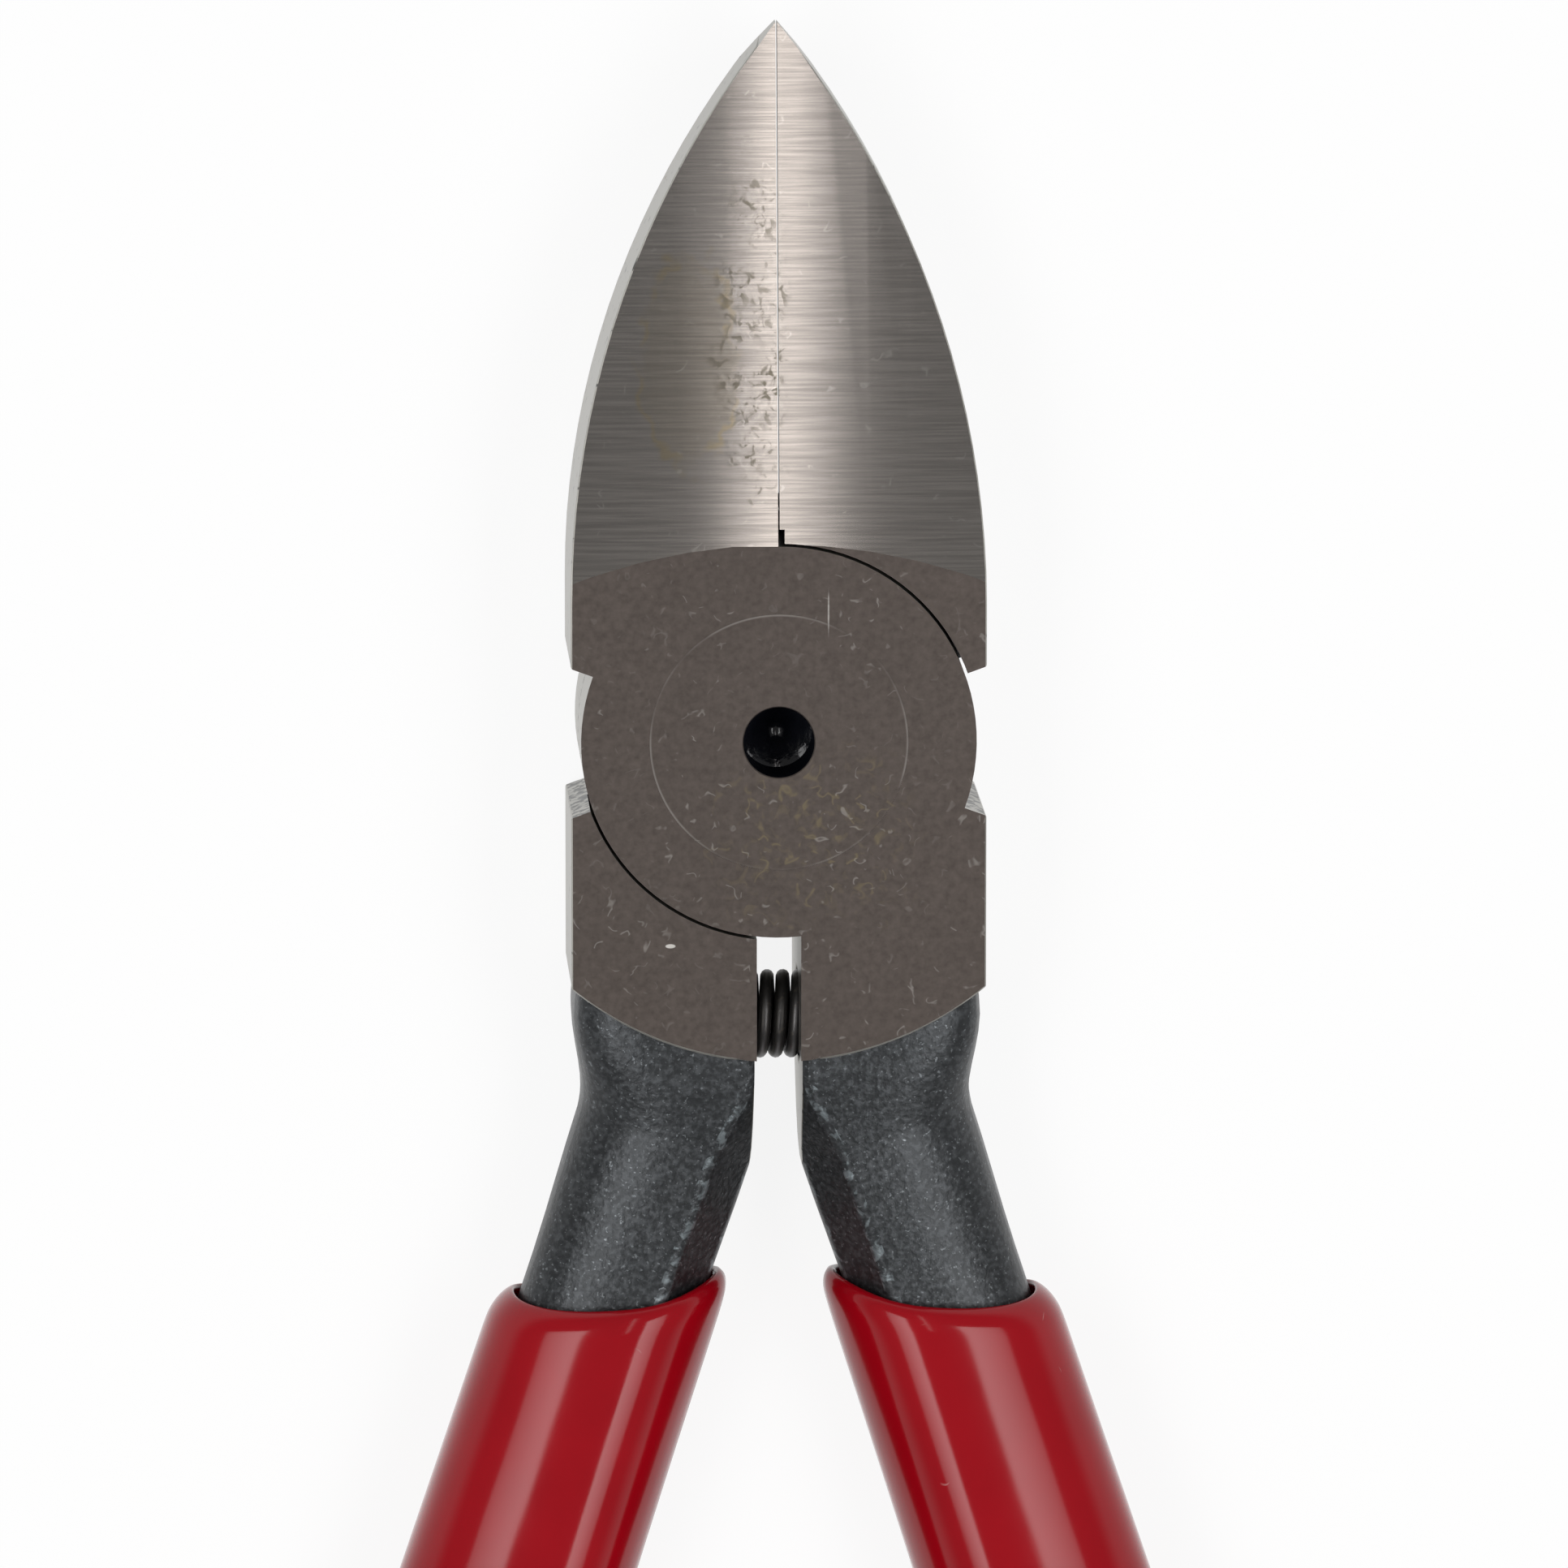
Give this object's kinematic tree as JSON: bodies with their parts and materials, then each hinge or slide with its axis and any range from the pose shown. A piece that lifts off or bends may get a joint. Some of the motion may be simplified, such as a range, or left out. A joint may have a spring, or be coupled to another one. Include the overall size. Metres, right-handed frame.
{
  "type": "gate cutter",
  "caption": "Side-cutting nippers for plastic gates: lapped steel jaws on a flush rivet, coil return spring between the shanks, red plastic sleeves on bowed handles.",
  "frame": {"origin": "on the pivot axis, in the plane of the back face that the tool lies on", "axes": "+Y along the tool to the jaw tip, +X to the right-hand handle, +Z out of the ground front face"},
  "size_m": [0.0536, 0.1501, 0.0105],
  "materials": {
    "ground_steel": "ground across the jaws and joint, dark and forged on the shanks",
    "rivet_steel": "ground flush",
    "spring_steel": "black oxide, glossy",
    "red_plastic": "smooth dipped gloss"
  },
  "bodies": {
    "front_half": {"front_lever": "ground_steel", "right_grip": "red_plastic", "pivot_rivet": "rivet_steel", "return_spring": "spring_steel"},
    "rear_half": {"rear_lever": "ground_steel", "left_grip": "red_plastic"}
  },
  "joints": [
    {"name": "jaw_pivot", "type": "hinge", "parent": "front_half", "child": "rear_half", "pos_m": [0, 0, 0], "axis": [0, 0, -1], "range_deg": [0, 38], "stiffness_Nm_per_rad": 0.23, "springref_deg": 40.11, "deforming": ["return_spring"]}
  ]
}
